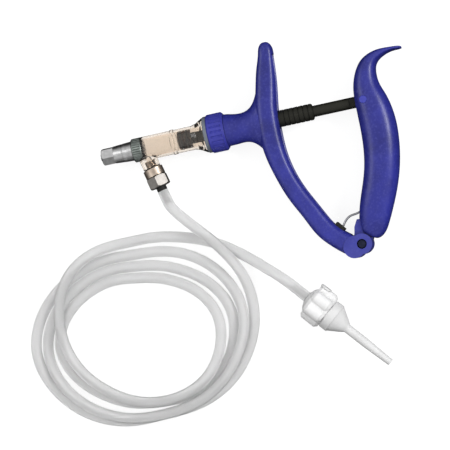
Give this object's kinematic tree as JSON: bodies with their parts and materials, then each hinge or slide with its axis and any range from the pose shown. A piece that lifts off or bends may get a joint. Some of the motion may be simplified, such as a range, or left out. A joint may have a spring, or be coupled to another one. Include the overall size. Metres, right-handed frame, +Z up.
{
  "type": "meat injector",
  "caption": "Hand-squeezed injector with a clear barrel, pistol-type handles and a long coiled supply hose ending in a vented bottle spike.",
  "frame": {"origin": "front end of the nozzle's luer tip, on the barrel axis", "axes": "+X along the barrel towards the handles, +Y towards the front handle's horn, +Z up off the table the injector lies on"},
  "size_m": [0.2659, 0.2152, 0.0241],
  "materials": {
    "blue_plastic": "moulded satin",
    "blue_collar": "moulded satin",
    "slate_plastic": "satin",
    "bright_blue": "gloss",
    "amber_clear": "clear, polished",
    "black_rubber": "matt",
    "nickel": "nickel plated, satin",
    "dark_nickel": "satin, knurled",
    "spring_steel": "drawn wire",
    "clear_hose": "clear soft vinyl",
    "black_plastic": "satin",
    "brown_piston": "satin",
    "white_plastic": "translucent white",
    "filter_felt": "felt",
    "blackened_steel": "blackened"
  },
  "bodies": {
    "front_handle": {"front_handle": "blue_plastic", "barrel_collar": "blue_collar", "collar_ring": "slate_plastic", "barrel": "amber_clear", "barrel_seal": "black_rubber", "nozzle": "nickel", "nozzle_nut": "dark_nickel", "nozzle_gasket": "black_rubber", "outlet_valve_spring": "spring_steel", "inlet_gasket": "black_rubber", "inlet_valve_body": "dark_nickel", "inlet_valve_spring": "spring_steel", "inlet_nut": "nickel", "hose_barb": "nickel", "inlet_seal": "black_rubber", "hose": "clear_hose", "rod_guide_bush": "nickel", "rod_wiper": "black_rubber", "spring_anchor": "black_plastic", "hinge_pin": "blackened_steel", "hinge_clip": "spring_steel", "hinge_washers": "nickel", "return_spring": "spring_steel", "spike": "white_plastic", "cap_retainer": "white_plastic"},
    "outlet_valve": {"outlet_valve_poppet": "nickel"},
    "inlet_valve": {"inlet_valve_poppet": "nickel"},
    "lever": {"rear_handle": "blue_plastic", "rod_pin": "nickel", "pin_plugs": "bright_blue"},
    "plunger": {"piston": "brown_piston", "piston_o_rings": "black_rubber", "plunger_rod": "black_plastic"},
    "dose_sleeve": {"dose_sleeve": "black_plastic"},
    "bottle_cap": {"bottle_cap": "white_plastic", "vent_cap": "white_plastic", "vent_filter": "filter_felt"}
  },
  "joints": [
    {"name": "lever_squeeze", "type": "hinge", "parent": "front_handle", "child": "lever", "pos_m": [0.1483, -0.0852, 0], "axis": [0, 0, 1], "range_deg": [0, 11.9], "stiffness_Nm_per_rad": 0.6, "deforming": ["return_spring"]},
    {"name": "plunger_slide", "type": "slide", "parent": "front_handle", "child": "plunger", "axis": [-1, 0, 0], "range_m": [0, 0.018]},
    {"name": "dose_sleeve_turn", "type": "hinge", "parent": "front_handle", "child": "dose_sleeve", "pos_m": [0.12, 0, 0], "axis": [1, 0, 0], "range_deg": [-180, 180]},
    {"name": "outlet_valve_lift", "type": "slide", "parent": "front_handle", "child": "outlet_valve", "axis": [-1, 0, 0], "range_m": [0, 0.0012], "deforming": ["outlet_valve_spring"]},
    {"name": "inlet_valve_lift", "type": "slide", "parent": "front_handle", "child": "inlet_valve", "axis": [-0.23, 0.9732, 0], "range_m": [0, 0.001], "deforming": ["inlet_valve_spring"]},
    {"name": "bottle_cap_turn", "type": "hinge", "parent": "front_handle", "child": "bottle_cap", "pos_m": [0.11389, -0.11689, 0], "axis": [0.6488, -0.761, 0], "continuous": true}
  ],
  "couplings": [
    {"joint": "plunger_slide", "follows": "lever_squeeze", "m_per_rad": 0.08662}
  ]
}
